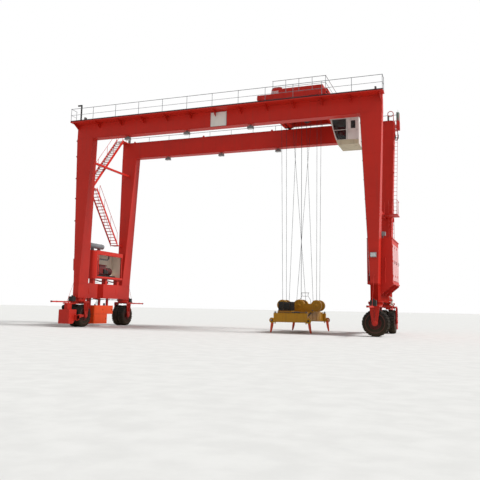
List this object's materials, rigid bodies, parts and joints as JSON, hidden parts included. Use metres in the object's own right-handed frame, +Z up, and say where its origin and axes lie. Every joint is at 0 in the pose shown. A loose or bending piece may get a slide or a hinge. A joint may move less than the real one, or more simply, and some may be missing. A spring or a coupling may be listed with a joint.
{
  "type": "rubber tyred gantry crane",
  "caption": "Red container gantry crane on steered rubber tyres: box girder portal, walkways, stairs, travelling trolley with hung cab, ropes and a telescopic spreader.",
  "frame": {"origin": "on the ground at the middle of the crane", "axes": "+X along the girders towards the cab and electrical house, +Y from the front girder to the rear girder, +Z up"},
  "size_m": [25.444, 13.8, 18.5099],
  "materials": {
    "portal_paint": "red paint, satin, dusty",
    "rail_paint": "grey galvanised tube",
    "rail_steel": "rolled steel, worn bright on top",
    "tyre_rubber": "black rubber, dusty",
    "unit_orange": "orange paint, satin",
    "silencer_grey": "heat-dulled grey paint",
    "lamp_grey": "grey cast housing",
    "cab_cream": "off-white paint",
    "cab_glass": "tinted glass",
    "spreader_ochre": "yellow ochre paint, worn",
    "flipper_orange": "orange paint, scuffed",
    "basket_black": "black paint",
    "panel_tan": "tan paint, dusty",
    "box_black": "black paint",
    "rope_steel": "greased wire rope"
  },
  "bodies": {
    "portal": {"front_girder": "portal_paint", "rear_girder": "portal_paint", "leg_front_left": "portal_paint", "leg_rear_left": "portal_paint", "leg_front_right": "portal_paint", "leg_rear_right": "portal_paint", "sill_left": "portal_paint", "sill_right": "portal_paint", "leg_ties": "portal_paint", "walkways": "portal_paint", "railings": "rail_paint", "track_rails": "rail_steel", "lower_stair": "portal_paint", "upper_stair": "portal_paint", "stair_landings": "portal_paint", "right_ladder": "portal_paint", "engine_room": "portal_paint", "muffler": "silencer_grey", "electrical_house": "portal_paint", "hydraulic_unit": "unit_orange", "unit_hanger": "portal_paint", "engine_panel": "panel_tan", "house_doors": "portal_paint", "bumper_arms": "portal_paint", "arm_boxes": "box_black", "leg_cabinets": "portal_paint", "floodlights": "lamp_grey", "bent_post": "box_black", "cable_terminal": "portal_paint"},
    "corner_front_left": {"fork_front_left": "portal_paint"},
    "wheelset_front_left": {"wheels_front_left": "tyre_rubber"},
    "corner_rear_left": {"fork_rear_left": "portal_paint"},
    "wheelset_rear_left": {"wheels_rear_left": "tyre_rubber"},
    "corner_front_right": {"fork_front_right": "portal_paint"},
    "wheelset_front_right": {"wheels_front_right": "tyre_rubber"},
    "corner_rear_right": {"fork_rear_right": "portal_paint"},
    "wheelset_rear_right": {"wheels_rear_right": "tyre_rubber"},
    "trolley": {"trolley_frame": "portal_paint", "trolley_wheels": "rail_steel", "machinery_cover": "portal_paint", "trolley_railing": "rail_paint", "cab_shell": "cab_cream", "cab_glass": "cab_glass", "cab_door": "cab_cream", "hoist_ropes": "rope_steel"},
    "hoisted_frame": {"headblock": "spreader_ochre", "cable_basket": "basket_black", "spreader_frame": "spreader_ochre"},
    "end_front": {"end_beam_front": "spreader_ochre"},
    "end_rear": {"end_beam_rear": "spreader_ochre"},
    "flip_front_left": {"flipper_front_left": "flipper_orange"},
    "flip_rear_left": {"flipper_rear_left": "flipper_orange"},
    "flip_front_right": {"flipper_front_right": "flipper_orange"},
    "flip_rear_right": {"flipper_rear_right": "flipper_orange"}
  },
  "joints": [
    {"name": "steer_front_left", "type": "hinge", "parent": "portal", "child": "corner_front_left", "pos_m": [-11.7, -3.25, 2.1], "axis": [0, 0, -1], "range_deg": [0, 90]},
    {"name": "roll_front_left", "type": "hinge", "parent": "corner_front_left", "child": "wheelset_front_left", "pos_m": [-11.7, -3.25, 0.89], "axis": [1, 0, 0], "continuous": true},
    {"name": "steer_rear_left", "type": "hinge", "parent": "portal", "child": "corner_rear_left", "pos_m": [-11.7, 3.25, 2.1], "axis": [0, 0, 1], "range_deg": [0, 90]},
    {"name": "roll_rear_left", "type": "hinge", "parent": "corner_rear_left", "child": "wheelset_rear_left", "pos_m": [-11.7, 3.25, 0.89], "axis": [1, 0, 0], "continuous": true},
    {"name": "steer_front_right", "type": "hinge", "parent": "portal", "child": "corner_front_right", "pos_m": [11.7, -3.25, 2.1], "axis": [0, 0, 1], "range_deg": [0, 90]},
    {"name": "roll_front_right", "type": "hinge", "parent": "corner_front_right", "child": "wheelset_front_right", "pos_m": [11.7, -3.25, 0.89], "axis": [0, 1, 0], "continuous": true},
    {"name": "steer_rear_right", "type": "hinge", "parent": "portal", "child": "corner_rear_right", "pos_m": [11.7, 3.25, 2.1], "axis": [0, 0, -1], "range_deg": [0, 90]},
    {"name": "roll_rear_right", "type": "hinge", "parent": "corner_rear_right", "child": "wheelset_rear_right", "pos_m": [11.7, 3.25, 0.89], "axis": [1, 0, 0], "continuous": true},
    {"name": "trolley_travel", "type": "slide", "parent": "portal", "child": "trolley", "axis": [1, 0, 0], "range_m": [-14.2, 3]},
    {"name": "hoist", "type": "slide", "parent": "trolley", "child": "hoisted_frame", "axis": [0, 0, 1], "range_m": [0, 11.8], "deforming": ["hoist_ropes"]},
    {"name": "telescope_front", "type": "slide", "parent": "hoisted_frame", "child": "end_front", "axis": [0, -1, 0], "range_m": [0, 3.06]},
    {"name": "telescope_rear", "type": "slide", "parent": "hoisted_frame", "child": "end_rear", "axis": [0, 1, 0], "range_m": [0, 3.06]},
    {"name": "flip_front_left", "type": "hinge", "parent": "end_front", "child": "flip_front_left", "pos_m": [4.37, -2.88, 0.9], "axis": [0, 1, 0], "range_deg": [0, 165]},
    {"name": "flip_rear_left", "type": "hinge", "parent": "end_rear", "child": "flip_rear_left", "pos_m": [4.37, 2.88, 0.9], "axis": [0, 1, 0], "range_deg": [0, 165]},
    {"name": "flip_front_right", "type": "hinge", "parent": "end_front", "child": "flip_front_right", "pos_m": [7.03, -2.88, 0.9], "axis": [0, -1, 0], "range_deg": [0, 165]},
    {"name": "flip_rear_right", "type": "hinge", "parent": "end_rear", "child": "flip_rear_right", "pos_m": [7.03, 2.88, 0.9], "axis": [0, -1, 0], "range_deg": [0, 165]}
  ]
}
